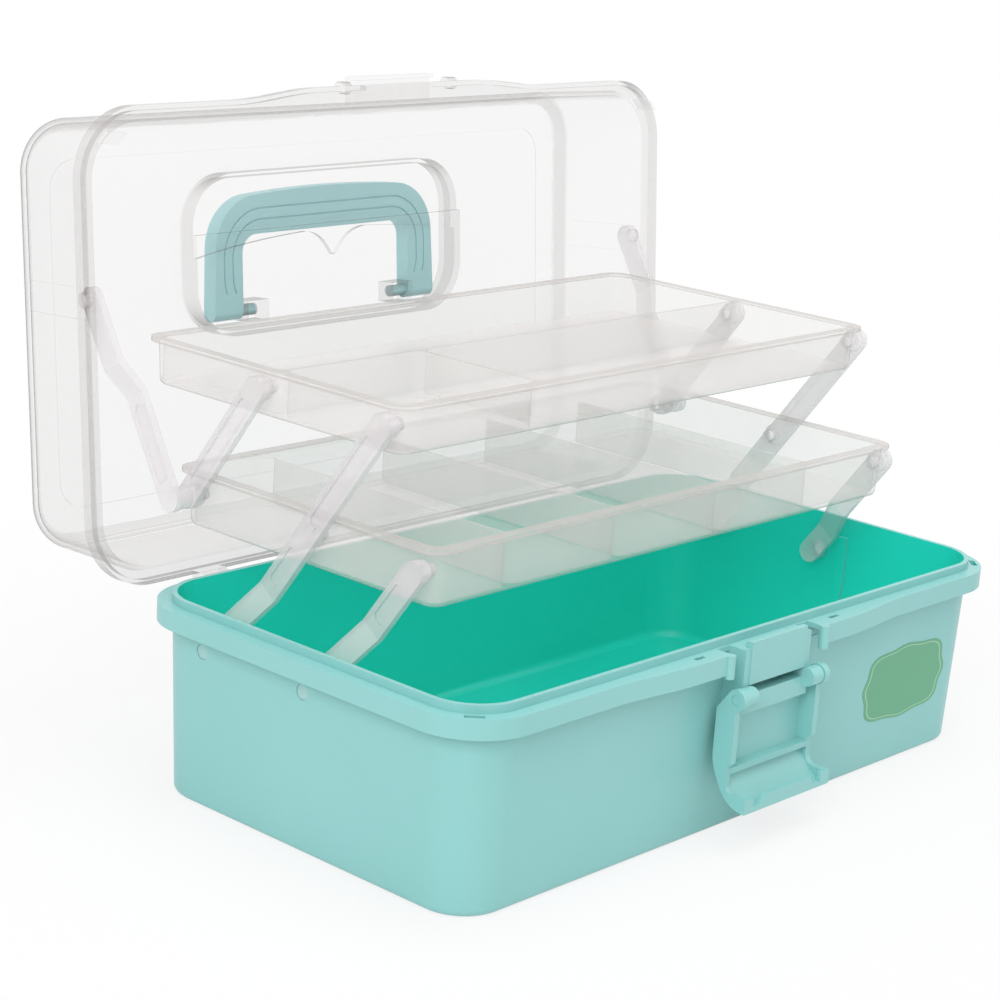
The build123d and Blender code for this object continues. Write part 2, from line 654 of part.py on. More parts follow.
with BuildPart() as lower_tray:
    inset = lower_depth * sin(radians(tray_draft)) / cos(radians(tray_draft))
    with BuildSketch(Plane((0, lower_y, lower_rim_z - lower_depth))):
        RectangleRounded(
            2 * (tray_x - tray_lip - inset), 2 * (tray_y - tray_lip - inset), tray_corner - tray_lip
        )
    extrude(amount=lower_depth, taper=-tray_draft)
    fillet(lower_tray.faces().sort_by(Axis.Z)[0].edges(), radius=2.5)
    with BuildSketch(Plane((0, lower_y, lower_rim_z - tray_wall))):
        RectangleRounded(2 * tray_x, 2 * tray_y, tray_corner)
    extrude(amount=tray_wall)
    # Compartments between the moulded-in dividers
    low_inset = (lower_depth - tray_wall) * inset / lower_depth
    pocket_x = tray_x - tray_lip - tray_wall - low_inset
    pocket_y = tray_y - tray_lip - tray_wall - low_inset
    edges_x = (-pocket_x, *lower_dividers, pocket_x)
    for index in range(5):
        left = edges_x[index] + (0.5 * tray_wall if index > 0 else 0)
        right = edges_x[index + 1] - (0.5 * tray_wall if index < 4 else 0)
        with BuildSketch(Plane((0, lower_y, lower_rim_z - lower_depth + tray_wall))):
            with Locations((0.5 * (left + right), 0)):
                RectangleRounded(right - left, 2 * pocket_y, 5)
        extrude(amount=lower_depth, taper=0, mode=Mode.SUBTRACT)
    with BuildSketch(Plane((0, lower_y, lower_rim_z - 2))):
        RectangleRounded(2 * pocket_x, 2 * pocket_y, 5)
    extrude(amount=3, mode=Mode.SUBTRACT)
    for side in (-1, 1):
        with BuildSketch(Plane.YZ.offset(side * tray_x)):
            with Locations(lower_front_pin, lower_mid_pin, lower_rear_pin):
                Circle(tray_holes)
        extrude(amount=-side * (tray_lip + tray_wall + 5), mode=Mode.SUBTRACT)

lower_tray.part.label = "lower_tray"
export_step(lower_tray.part, "parts/lower_tray.step")

with BuildPart() as upper_tray:
    inset = upper_depth * sin(radians(tray_draft)) / cos(radians(tray_draft))
    with BuildSketch(Plane((0, upper_y, upper_rim_z - upper_depth))):
        RectangleRounded(
            2 * (tray_x - tray_lip - inset), 2 * (tray_y - tray_lip - inset), tray_corner - tray_lip
        )
    extrude(amount=upper_depth, taper=-tray_draft)
    fillet(upper_tray.faces().sort_by(Axis.Z)[0].edges(), radius=2.5)
    with BuildSketch(Plane((0, upper_y, upper_rim_z - tray_wall))):
        RectangleRounded(2 * tray_x, 2 * tray_y, tray_corner)
    extrude(amount=tray_wall)
    low_inset = (upper_depth - tray_wall) * inset / upper_depth
    pocket_x = tray_x - tray_lip - tray_wall - low_inset
    pocket_y = tray_y - tray_lip - tray_wall - low_inset
    split_y = -4.0
    cross_x = -66.0
    half_wall = 0.5 * tray_wall
    for left, right, near, far in (
        (-pocket_x, pocket_x, split_y + half_wall, pocket_y),
        (-pocket_x, cross_x - half_wall, -pocket_y, split_y - half_wall),
        (cross_x + half_wall, pocket_x, -pocket_y, split_y - half_wall),
    ):
        with BuildSketch(Plane((0, upper_y, upper_rim_z - upper_depth + tray_wall))):
            with Locations((0.5 * (left + right), 0.5 * (near + far))):
                RectangleRounded(right - left, far - near, 4)
        extrude(amount=upper_depth, mode=Mode.SUBTRACT)
    for side in (-1, 1):
        with BuildSketch(Plane.YZ.offset(side * tray_x)):
            with Locations(upper_front_pin, upper_rear_pin):
                Circle(tray_holes)
        extrude(amount=-side * (tray_lip + tray_wall + 5), mode=Mode.SUBTRACT)

upper_tray.part.label = "upper_tray"
export_step(upper_tray.part, "parts/upper_tray.step")

# Arms and links
along = (0, -lean_y, lean_z)
arm_normal = (0, lean_z, lean_y)
hub_face = tray_x - tray_lip + side_gap
peg_tip = tray_x - tray_lip - 4.2
head_face = tray_x - tray_lip - tray_wall - 1.2
joggle_start = 14.0
joggle_end = 32.0

with BuildPart() as long_arm_right:
    reach = lower_reach + upper_reach
    base_side = Plane(origin=(0, *base_rear_pin), x_dir=along, z_dir=(1, 0, 0))
    base_edge = Plane(origin=(0, *base_rear_pin), x_dir=along, z_dir=arm_normal)
    with BuildSketch(base_edge):
        Polygon(
            (-arm_width, base_layer), (joggle_start, base_layer), (joggle_end, inner_layer),
            (reach + arm_width, inner_layer), (reach + arm_width, outer_face),
            (joggle_end + 0.8, outer_face), (joggle_start + 0.8, base_layer + arm_thickness),
            (-arm_width, base_layer + arm_thickness),
            align=None,
        )
    extrude(amount=0.5 * arm_width, both=True)
    with BuildSketch(base_side.offset(inner_layer - 1)):
        with Locations((0.5 * reach, 0)):
            SlotCenterToCenter(reach, arm_width)
    extrude(amount=arm_thickness + 12, mode=Mode.INTERSECT)
    with BuildSketch(base_side.offset(outer_face - 1.2)):
        with Locations((0.5 * (joggle_end + lower_reach) - 1, 0)):
            SlotCenterToCenter(lower_reach - joggle_end - 18, 5.6)
        with Locations((lower_reach + 0.5 * upper_reach, 0)):
            SlotCenterToCenter(upper_reach - 18, 5.6)
    extrude(amount=2, mode=Mode.SUBTRACT)
    for pin in (lower_mid_pin, upper_front_pin):
        with BuildSketch(Plane.YZ.offset(hub_face)):
            with Locations(pin):
                Circle(hub_radius)
        extrude(amount=inner_layer + 1 - hub_face)
        with BuildSketch(Plane.YZ.offset(peg_tip)):
            with Locations(pin):
                Circle(tray_peg_radius)
        extrude(amount=hub_face + 0.5 - peg_tip)
    with BuildSketch(Plane.YZ.offset(base_layer + 1)):
        with Locations(base_rear_pin):
            Circle(hub_radius)
    extrude(amount=base_hub_face - base_layer - 1)
    with BuildSketch(Plane.YZ.offset(base_hub_face - 0.5)):
        with Locations(base_rear_pin):
            Circle(wall_peg_radius)
    extrude(amount=base_peg_tip - base_hub_face + 0.5)

with BuildPart() as front_arm_right:
    front_side = Plane(origin=(0, *base_front_pin), x_dir=along, z_dir=(1, 0, 0))
    front_edge = Plane(origin=(0, *base_front_pin), x_dir=along, z_dir=arm_normal)
    with BuildSketch(front_edge):
        Polygon(
            (-arm_width, base_layer), (joggle_start, base_layer), (joggle_end, inner_layer),
            (lower_reach + arm_width, inner_layer), (lower_reach + arm_width, outer_face),
            (joggle_end + 0.8, outer_face), (joggle_start + 0.8, base_layer + arm_thickness),
            (-arm_width, base_layer + arm_thickness),
            align=None,
        )
    extrude(amount=0.5 * arm_width, both=True)
    with BuildSketch(front_side.offset(inner_layer - 1)):
        with Locations((0.5 * lower_reach, 0)):
            SlotCenterToCenter(lower_reach, arm_width)
    extrude(amount=arm_thickness + 12, mode=Mode.INTERSECT)
    with BuildSketch(front_side.offset(outer_face - 1.2)):
        with Locations((0.5 * (joggle_end + lower_reach) - 1, 0)):
            SlotCenterToCenter(lower_reach - joggle_end - 18, 5.6)
    extrude(amount=2, mode=Mode.SUBTRACT)
    with BuildSketch(Plane.YZ.offset(hub_face)):
        with Locations(lower_front_pin):
            Circle(hub_radius)
    extrude(amount=inner_layer + 1 - hub_face)
    with BuildSketch(Plane.YZ.offset(peg_tip)):
        with Locations(lower_front_pin):
            Circle(tray_peg_radius)
    extrude(amount=hub_face + 0.5 - peg_tip)
    with BuildSketch(Plane.YZ.offset(base_layer + 1)):
        with Locations(base_front_pin):
            Circle(hub_radius)
    extrude(amount=base_hub_face - base_layer - 1)
    with BuildSketch(Plane.YZ.offset(base_hub_face - 0.5)):
        with Locations(base_front_pin):
            Circle(wall_peg_radius)
    extrude(amount=base_peg_tip - base_hub_face + 0.5)

with BuildPart() as rear_link_right:
    rear_side = Plane(origin=(0, *lower_rear_pin), x_dir=along, z_dir=(1, 0, 0))
    with BuildSketch(rear_side.offset(inner_layer)):
        with Locations((0.5 * upper_reach, 0)):
            SlotCenterToCenter(upper_reach, arm_width)
    extrude(amount=arm_thickness)
    with BuildSketch(rear_side.offset(outer_face - 1.2)):
        with Locations((0.5 * upper_reach, 0)):
            SlotCenterToCenter(upper_reach - 18, 5.6)
    extrude(amount=2, mode=Mode.SUBTRACT)
    for pin in (lower_rear_pin, upper_rear_pin):
        with BuildSketch(Plane.YZ.offset(hub_face)):
            with Locations(pin):
                Circle(hub_radius)
        extrude(amount=inner_layer + 1 - hub_face)
        with BuildSketch(Plane.YZ.offset(peg_tip)):
            with Locations(pin):
                Circle(tray_peg_radius)
        extrude(amount=hub_face + 0.5 - peg_tip)

link_dy = lower_rear_pin[0] - lid_pin[0]
link_dz = lower_rear_pin[1] - lid_pin[1]
link_reach = hypot(link_dy, link_dz)
link_along = (0, link_dy / link_reach, link_dz / link_reach)
link_normal = (0, link_dz / link_reach, -link_dy / link_reach)
link_bend_start = 27.0
link_bend_end = 39.0

with BuildPart() as lid_link_right:
    link_side = Plane(origin=(0, *lid_pin), x_dir=link_along, z_dir=(1, 0, 0))
    link_edge = Plane(origin=(0, *lid_pin), x_dir=link_along, z_dir=link_normal)
    with BuildSketch(link_edge):
        Polygon(
            (-arm_width, lid_layer), (link_bend_start, lid_layer), (link_bend_end, link_layer),
            (link_reach + arm_width, link_layer), (link_reach + arm_width, link_layer + arm_thickness),
            (link_bend_end + 0.8, link_layer + arm_thickness),
            (link_bend_start + 0.8, lid_layer + arm_thickness),
            (-arm_width, lid_layer + arm_thickness),
            align=None,
        )
    extrude(amount=0.5 * arm_width, both=True)
    with BuildSketch(link_side.offset(link_layer - 1)):
        with Locations((0.5 * link_reach, 0)):
            SlotCenterToCenter(link_reach, arm_width)
    extrude(amount=arm_thickness + 14, mode=Mode.INTERSECT)
    with BuildSketch(link_side.offset(link_layer + arm_thickness - 1.2)):
        with Locations((0.5 * (link_bend_end + link_reach) - 1, 0)):
            SlotCenterToCenter(link_reach - link_bend_end - 18, 5.6)
    extrude(amount=2, mode=Mode.SUBTRACT)
    with BuildSketch(Plane.YZ.offset(lid_layer + 1)):
        with Locations(lid_pin):
            Circle(hub_radius)
    extrude(amount=lid_hub_face - lid_layer - 1)
    with BuildSketch(Plane.YZ.offset(lid_layer + 1)):
        with Locations(lid_pin):
            Circle(wall_peg_radius)
    extrude(amount=lid_peg_tip - lid_layer - 1)
    with BuildSketch(Plane.YZ.offset(outer_face + side_gap)):
        with Locations(lower_rear_pin):
            Circle(hub_radius)
    extrude(amount=link_step + 1)

for right_part, name in (
    (long_arm_right.part, "long_arm"),
    (front_arm_right.part, "front_arm"),
    (rear_link_right.part, "rear_link"),
    (lid_link_right.part, "lid_link"),
):
    with BuildPart() as left_copy:
        mirror(right_part, about=Plane.YZ)
    right_part.label = name + "_right"
    left_copy.part.label = name + "_left"
    export_step(right_part, "parts/" + name + "_right.step")
    export_step(left_copy.part, "parts/" + name + "_left.step")
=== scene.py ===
import json
import math

import bmesh
import bpy
from mathutils import Matrix, Vector


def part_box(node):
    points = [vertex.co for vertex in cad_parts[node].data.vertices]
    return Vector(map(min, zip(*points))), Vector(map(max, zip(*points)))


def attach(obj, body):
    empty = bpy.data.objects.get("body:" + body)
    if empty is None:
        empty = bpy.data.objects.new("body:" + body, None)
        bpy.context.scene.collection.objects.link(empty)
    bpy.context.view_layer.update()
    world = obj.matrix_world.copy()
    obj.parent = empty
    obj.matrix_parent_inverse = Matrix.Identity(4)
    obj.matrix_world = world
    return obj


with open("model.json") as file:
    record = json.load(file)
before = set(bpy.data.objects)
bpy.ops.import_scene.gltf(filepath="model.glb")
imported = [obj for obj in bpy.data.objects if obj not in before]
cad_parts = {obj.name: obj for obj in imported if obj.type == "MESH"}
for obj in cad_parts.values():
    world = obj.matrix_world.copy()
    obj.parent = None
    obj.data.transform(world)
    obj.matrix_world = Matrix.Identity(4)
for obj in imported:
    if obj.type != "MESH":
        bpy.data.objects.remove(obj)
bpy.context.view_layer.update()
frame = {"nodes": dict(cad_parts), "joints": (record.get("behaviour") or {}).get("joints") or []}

# Looks of the fold-out organiser box: opaque aqua tub, latch and handle, a clear lid, and
# milky trays and arms, all moulded polypropylene, with a blank label on the front
nodes = frame["nodes"]
joints = {joint["name"]: joint for joint in frame["joints"]}
MM = 0.001

# Camera, at the photograph's angle and framing
AZIMUTH = math.radians(48.016)
ELEVATION = math.radians(15.307)
ROLL = math.radians(3.836)
DISTANCE = 1.066131
AIM_RIGHT = 0.032733
AIM_UP = -0.10828
FOCAL_PIXELS = 2541.43
IMAGE_PIXELS = 1000.0
SENSOR_MM = 36.0
CLIP_END = 100.0


def place_camera():
    back = Vector((
        -math.sin(AZIMUTH) * math.cos(ELEVATION),
        -math.cos(AZIMUTH) * math.cos(ELEVATION),
        math.sin(ELEVATION),
    ))
    right = (-back).cross(Vector((0, 0, 1))).normalized()
    up = right.cross(-back)
    turned_right = right * math.cos(ROLL) + up * math.sin(ROLL)
    turned_up = up * math.cos(ROLL) - right * math.sin(ROLL)
    spot = back * DISTANCE - turned_right * AIM_RIGHT - turned_up * AIM_UP
    data = bpy.data.cameras.new("photo_camera")
    data.sensor_width = SENSOR_MM
    data.lens = FOCAL_PIXELS / IMAGE_PIXELS * SENSOR_MM
    data.clip_end = CLIP_END
    camera = bpy.data.objects.new("photo_camera", data)
    axes = Matrix((turned_right, turned_up, back)).transposed()
    camera.matrix_world = Matrix.Translation(spot) @ axes.to_4x4()
    bpy.context.scene.collection.objects.link(camera)
    bpy.context.scene.camera = camera


place_camera()


# Helpers
def tint(code, alpha=1.0):
    """sRGB hex to a linear colour."""
    channels = [int(code[i:i + 2], 16) / 255 for i in (1, 3, 5)]
    linear = [c / 12.92 if c <= 0.04045 else ((c + 0.055) / 1.055) ** 2.4 for c in channels]
    return (*linear, alpha)


def add(tree, kind, inputs=None, **settings):
    """One node with its settings, its values and its links."""
    made = tree.nodes.new(kind)
    for name, value in settings.items():
        setattr(made, name, value)
    for name, value in (inputs or {}).items():
        if isinstance(value, bpy.types.NodeSocket):
            tree.links.new(value, made.inputs[name])
        else:
            made.inputs[name].default_value = value
    return made


def blank_material(name):
    material = bpy.data.materials.new(name)
    material.use_nodes = True
    material.node_tree.nodes.clear()
    return material, material.node_tree


# Materials, with the sizes of their patterns
POLYPROPYLENE_IOR = 1.49
MOTTLE = 60 * MM
PEEL = 1.6 * MM
PEEL_DEPTH = 0.05 * MM
PEEL_STRENGTH = 0.06
PEEL_GLOSSIER = 0.04
PEEL_DULLER = 0.05
CLOUD = 35 * MM
FILM_ROUGHNESS = 0.5
LINE_CORE = 0.6


def moulded_plastic(name, deep, pale, roughness):
    """Opaque injection-moulded polypropylene: even colour with a broad, barely seen flow
    mottle, and the soft orange-peel sheen that a spark-finished mould leaves. The peel is
    drawn coarser than the real one, so that it shows."""
    material, tree = blank_material(name)
    place = add(tree, "ShaderNodeTexCoord")
    flow = add(tree, "ShaderNodeTexNoise", {
        "Vector": place.outputs["Object"], "Scale": 1 / MOTTLE, "Detail": 2.0,
    })
    colour = add(tree, "ShaderNodeMix", {
        0: flow.outputs["Fac"], 6: tint(deep), 7: tint(pale),
    }, data_type="RGBA")
    peel = add(tree, "ShaderNodeTexNoise", {
        "Vector": place.outputs["Object"], "Scale": 1 / PEEL, "Detail": 1.0,
    })
    sheen = add(tree, "ShaderNodeMapRange", {
        "Value": peel.outputs["Fac"],
        "To Min": roughness - PEEL_GLOSSIER, "To Max": roughness + PEEL_DULLER,
    })
    dimple = add(tree, "ShaderNodeBump", {
        "Height": peel.outputs["Fac"], "Strength": PEEL_STRENGTH, "Distance": PEEL_DEPTH,
    })
    shader = add(tree, "ShaderNodeBsdfPrincipled", {
        "Base Color": colour.outputs[2], "Roughness": sheen.outputs["Result"],
        "Normal": dimple.outputs["Normal"], "IOR": POLYPROPYLENE_IOR,
    })
    add(tree, "ShaderNodeOutputMaterial", {"Surface": shader.outputs["BSDF"]})
    return material


def see_through_plastic(name, body, rim, face_on, edge_on, start, roughness, cloud=0.0):
    """Unpigmented injection-moulded polypropylene: clear face on, with a veil that thickens
    and greys where a wall is seen edge on, because the light then crosses more of it. face_on
    and edge_on are the veil's strengths, and start is where it begins to thicken."""
    material, tree = blank_material(name)
    place = add(tree, "ShaderNodeTexCoord")
    facing = add(tree, "ShaderNodeLayerWeight", {"Blend": 0.5})
    edge = add(tree, "ShaderNodeMapRange", {
        "Value": facing.outputs["Facing"], "From Min": start, "From Max": 1.0,
    }, interpolation_type="SMOOTHSTEP")
    colour = add(tree, "ShaderNodeMix", {
        0: edge.outputs["Result"], 6: tint(body), 7: tint(rim),
    }, data_type="RGBA")
    flow = add(tree, "ShaderNodeTexNoise", {
        "Vector": place.outputs["Object"], "Scale": 1 / CLOUD, "Detail": 2.0,
    })
    veil = add(tree, "ShaderNodeMapRange", {
        "Value": edge.outputs["Result"], "To Min": face_on, "To Max": edge_on,
    })
    clouded = add(tree, "ShaderNodeMath", {
        0: flow.outputs["Fac"], 1: cloud, 2: veil.outputs["Result"],
    }, operation="MULTIPLY_ADD")
    shader = add(tree, "ShaderNodeBsdfPrincipled", {
        "Base Color": colour.outputs[2], "Roughness": roughness, "IOR": POLYPROPYLENE_IOR,
        "Alpha": clouded.outputs[0],
    })
    add(tree, "ShaderNodeOutputMaterial", {"Surface": shader.outputs["BSDF"]})
    return material


def printed_film(name, ground, line, line_at, line_width):
    """Matt printed polypropylene film: an even green with one pale border line, drawn by the
    attribute that runs from 0 at the middle to 1 at the outline."""
    material, tree = blank_material(name)
    reach = add(tree, "ShaderNodeAttribute", attribute_name="reach")
    off = add(tree, "ShaderNodeMath", {0: reach.outputs["Fac"], 1: line_at}, operation="SUBTRACT")
    near = add(tree, "ShaderNodeMath", {0: off.outputs[0]}, operation="ABSOLUTE")
    inked = add(tree, "ShaderNodeMapRange", {
        "Value": near.outputs[0], "From Min": LINE_CORE * line_width, "From Max": line_width,
        "To Min": 1.0, "To Max": 0.0,
    })
    colour = add(tree, "ShaderNodeMix", {
        0: inked.outputs["Result"], 6: tint(ground), 7: tint(line),
    }, data_type="RGBA")
    shader = add(tree, "ShaderNodeBsdfPrincipled", {
        "Base Color": colour.outputs[2], "Roughness": FILM_ROUGHNESS, "IOR": POLYPROPYLENE_IOR,
    })
    add(tree, "ShaderNodeOutputMaterial", {"Surface": shader.outputs["BSDF"]})
    return material


# The outside aqua is the plastic's own colour with a painted white sheen mixed in, so it reads
# paler
satin_aqua_painted_sheen = moulded_plastic(
    "satin_aqua_polypropylene_painted_sheen", deep="#8DCBC8", pale="#96D1CF", roughness=0.34
)
# Painted glow: a deeper, brighter copy of the same aqua for the inside, standing in for light
# that soaks through the thin walls and bounces inside
aqua_painted_inner_glow = moulded_plastic(
    "aqua_polypropylene_painted_inner_glow", deep="#24DECB", pale="#30E3D1", roughness=0.30
)
# Painted light: the handle is the tub's aqua, painted paler to make up for the shade and veil
# that the lid casts over it
handle_aqua_painted_lighter = moulded_plastic(
    "satin_handle_polypropylene_painted_lighter", deep="#B0E3E6", pale="#B8E8EB", roughness=0.38
)
clear_lid = see_through_plastic(
    "moulded_clear_polypropylene", body="#D6D2D1", rim="#9C9592",
    face_on=0.09, edge_on=0.62, start=0.58, roughness=0.12,
)
clear_edge = see_through_plastic(
    "moulded_clear_polypropylene_edge", body="#BAB4B2", rim="#706A67",
    face_on=0.19, edge_on=0.88, start=0.36, roughness=0.12,
)
milky_tray = see_through_plastic(
    "moulded_milky_polypropylene", body="#F6F3F1", rim="#B8B1AE",
    face_on=0.19, edge_on=0.75, start=0.60, roughness=0.24, cloud=0.03,
)
milky_edge = see_through_plastic(
    "moulded_milky_polypropylene_edge", body="#EDE8E4", rim="#A39C98",
    face_on=0.24, edge_on=0.85, start=0.45, roughness=0.24, cloud=0.03,
)
natural_arm = see_through_plastic(
    "moulded_natural_polypropylene", body="#F0EBED", rim="#BDB8BB",
    face_on=0.36, edge_on=0.80, start=0.50, roughness=0.22, cloud=0.08,
)
peg_end = see_through_plastic(
    "moulded_natural_polypropylene_peg_end", body="#B6E0DE", rim="#9CCFCC",
    face_on=0.80, edge_on=0.92, start=0.50, roughness=0.22,
)
label_film = printed_film(
    "printed_green_label_polypropylene", ground="#6CB08C", line="#A5CFB0",
    line_at=0.93, line_width=0.016,
)


def dress(node, *materials):
    """Gives a CAD node its material slots."""
    mesh = nodes[node].data
    mesh.materials.clear()
    for material in materials:
        mesh.materials.append(material)


dress("base_tub", satin_aqua_painted_sheen, aqua_painted_inner_glow)
for pin in ("hinge_pin_left", "hinge_pin_right"):
    dress(pin, satin_aqua_painted_sheen)
dress("latch_lever", satin_aqua_painted_sheen)
dress("carry_handle", handle_aqua_painted_lighter)
dress("lid", clear_lid, clear_edge)
for tray in ("lower_tray", "upper_tray"):
    dress(tray, milky_tray, milky_edge)
for link in ("front_arm", "long_arm", "rear_link", "lid_link"):
    for side in ("left", "right"):
        dress(link + "_" + side, natural_arm, peg_end)

# Faces of the tub: where its end walls stand at the pegs, the space within its inner rim, and
# how far a face there has to look towards the middle or up to take the painted inner glow
TUB_FACE_X = 158 * MM
INNER_TOP_X = 160.2 * MM
INNER_TOP_Y = 85.7 * MM
INNER_RIM_Z = 81.9 * MM
FLOOR_Z = 12 * MM
UNDERSIDE_Z = 2 * MM
LEAST_INWARD = 0.02
LEAST_UPWARD = 0.5


def tint_peg_ends(arm):
    """Peg ends that show through the tub's end walls take on its colour."""
    for face in nodes[arm].data.polygons:
        if abs(face.center.x) > TUB_FACE_X:
            face.material_index = 1


def paint_inner_glow():
    """Painted glow: the inside of the tub, a little glossier, takes a deeper, brighter copy of
    the aqua. It stands in for light that soaks through the thin walls and bounces inside. It goes
    on every face within the inner rim that looks towards the middle or up from the floor."""
    for face in nodes["base_tub"].data.polygons:
        spot = face.center
        normal = face.normal
        beside = abs(spot.x) < INNER_TOP_X and abs(spot.y) < INNER_TOP_Y
        within = beside and UNDERSIDE_Z < spot.z < INNER_RIM_Z
        inward = normal.x * spot.x + normal.y * spot.y < -LEAST_INWARD * spot.length
        upward = normal.z > LEAST_UPWARD and spot.z < FLOOR_Z
        if within and (inward or upward):
            face.material_index = 1


for arm in ("front_arm", "long_arm"):
    for side in ("left", "right"):
        tint_peg_ends(arm + "_" + side)
paint_inner_glow()

# Edges of the see-through pieces. The lid is read as it lies when shut, from its hinge, and
# each tray from its top
HINGE = Vector(joints["lid_hinge"]["pos_m"])
SHUT = Matrix.Rotation(math.radians(joints["lid_hinge"]["range_deg"][1]), 3, "X")
LEVEL = math.cos(math.radians(14))
UPRIGHT = math.sin(math.radians(14))
WALL_LIKE = 0.5
LID_RIM_LOW = 8.6 * MM
LID_RIM_HIGH = 12.5 * MM
PANEL_STEP_LOW = 62.9 * MM
RECESS_LOW = 50 * MM
RECESS_X = 81 * MM
RECESS_BACK = -91 * MM
RECESS_FRONT = -161 * MM
TRAY_LIP = 1.7 * MM
SHARPEST_ROUND = math.radians(28)


def grey_edges(node, turn, origin, in_rim):
    """The rounds and rims bend the light and show as grey lines: every face that is neither
    level nor upright when its piece lies level, or that lies in its rim."""
    for face in nodes[node].data.polygons:
        normal = turn @ face.normal
        spot = turn @ (face.center - origin)
        if UPRIGHT < abs(normal.z) < LEVEL or in_rim(spot, normal):
            face.material_index = 1


def in_lid_rim(spot, normal):
    """The rim, the step of the top panel and the walls of the handle recess."""
    upright = abs(normal.z) < WALL_LIKE
    in_recess = abs(spot.x) < RECESS_X and RECESS_FRONT < spot.y < RECESS_BACK
    step = upright and (spot.z > PANEL_STEP_LOW or (in_recess and spot.z > RECESS_LOW))
    return step or LID_RIM_LOW < spot.z < LID_RIM_HIGH


def in_tray_lip(spot, normal):
    return spot.z > -TRAY_LIP


grey_edges("lid", SHUT, HINGE, in_lid_rim)
for tray in ("lower_tray", "upper_tray"):
    tray_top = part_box(tray)[1].z
    grey_edges(tray, Matrix.Identity(3), Vector((0, 0, tray_top)), in_tray_lip)

for cad in nodes.values():
    cad.data.shade_smooth()
    cad.data.set_sharp_from_angle(angle=SHARPEST_ROUND)

# Blank label, as a rule: a polar grid whose outline is a rounded block with even lobes. It
# lies on the tub's front wall, which leans by the tub's draft
LABEL = {
    "Half width": 29 * MM, "Half height": 16.0 * MM, "Thickness": 0.15 * MM,
    "Squareness": 3.2, "Lobes": 8.0, "Lobe depth": 0.035,
}
LABEL_POINTS_ROUND = 193
LABEL_POINTS_OUT = 41
LABEL_X = 108 * MM
LABEL_Z = 36.5 * MM
LABEL_GAP = 0.02 * MM
TUB_TOP_Y = 87.5 * MM
TUB_TOP_Z = 82 * MM
WALL_LEAN = math.radians(2.2)
WALL_Y = -(TUB_TOP_Y - (TUB_TOP_Z - LABEL_Z) * math.tan(WALL_LEAN))
SEAM = 0.005 * MM
BACK_SEAM = 0.002 * MM


def scalloped_plate_tree(material):
    tree = bpy.data.node_groups.new("scalloped_plate", "GeometryNodeTree")
    tree.interface.new_socket("Geometry", in_out="INPUT", socket_type="NodeSocketGeometry")
    for name in LABEL:
        tree.interface.new_socket(name, in_out="INPUT", socket_type="NodeSocketFloat")
    tree.interface.new_socket("Geometry", in_out="OUTPUT", socket_type="NodeSocketGeometry")
    given = add(tree, "NodeGroupInput").outputs

    def maths(kind, first, second=0.0):
        return add(tree, "ShaderNodeMath", {0: first, 1: second}, operation=kind).outputs[0]

    grid = add(tree, "GeometryNodeMeshGrid", {
        "Size X": 1.0, "Size Y": 1.0,
        "Vertices X": LABEL_POINTS_ROUND, "Vertices Y": LABEL_POINTS_OUT,
    })
    position = add(tree, "GeometryNodeInputPosition").outputs[0]
    spot = add(tree, "ShaderNodeSeparateXYZ", {0: position})
    turn = maths("MULTIPLY", maths("ADD", spot.outputs[0], 0.5), 2 * math.pi)
    reach = maths("ADD", spot.outputs[1], 0.5)
    across = maths("COSINE", turn)
    along = maths("SINE", turn)
    power = given["Squareness"]
    total = maths(
        "ADD",
        maths("POWER", maths("ABSOLUTE", across), power),
        maths("POWER", maths("ABSOLUTE", along), power),
    )
    block = maths("POWER", total, maths("DIVIDE", -1.0, power))
    wave = maths("COSINE", maths("MULTIPLY", turn, given["Lobes"]))
    lobe = maths("ADD", maths("MULTIPLY", wave, given["Lobe depth"]), 1.0)
    radius = maths("MULTIPLY", maths("MULTIPLY", block, lobe), reach)
    placed = add(tree, "ShaderNodeCombineXYZ", {
        0: maths("MULTIPLY", maths("MULTIPLY", radius, across), given["Half width"]),
        1: maths("MULTIPLY", maths("MULTIPLY", radius, along), given["Half height"]),
    })
    kept = add(tree, "GeometryNodeStoreNamedAttribute", {
        "Geometry": grid.outputs["Mesh"], "Name": "reach", "Value": reach,
    }, data_type="FLOAT", domain="POINT")
    shaped = add(tree, "GeometryNodeSetPosition", {
        "Geometry": kept.outputs["Geometry"], "Position": placed.outputs[0],
    })
    front = add(tree, "GeometryNodeMergeByDistance", {
        "Geometry": shaped.outputs["Geometry"], "Distance": SEAM,
    })
    rise = add(tree, "ShaderNodeCombineXYZ", {2: given["Thickness"]})
    thick = add(tree, "GeometryNodeExtrudeMesh", {
        "Mesh": front.outputs["Geometry"], "Offset": rise.outputs[0], "Individual": False,
        "Offset Scale": 1.0,
    }, mode="FACES")
    back = add(tree, "GeometryNodeFlipFaces", {"Mesh": front.outputs["Geometry"]})
    both = add(tree, "GeometryNodeJoinGeometry")
    tree.links.new(thick.outputs["Mesh"], both.inputs["Geometry"])
    tree.links.new(back.outputs["Mesh"], both.inputs["Geometry"])
    closed = add(tree, "GeometryNodeMergeByDistance", {
        "Geometry": both.outputs["Geometry"], "Distance": BACK_SEAM,
    })
    solid = add(tree, "GeometryNodeRealizeInstances", {"Geometry": closed.outputs["Geometry"]})
    coloured = add(tree, "GeometryNodeSetMaterial", {
        "Geometry": solid.outputs["Geometry"], "Material": material,
    })
    add(tree, "NodeGroupOutput", {"Geometry": coloured.outputs["Geometry"]})
    return tree


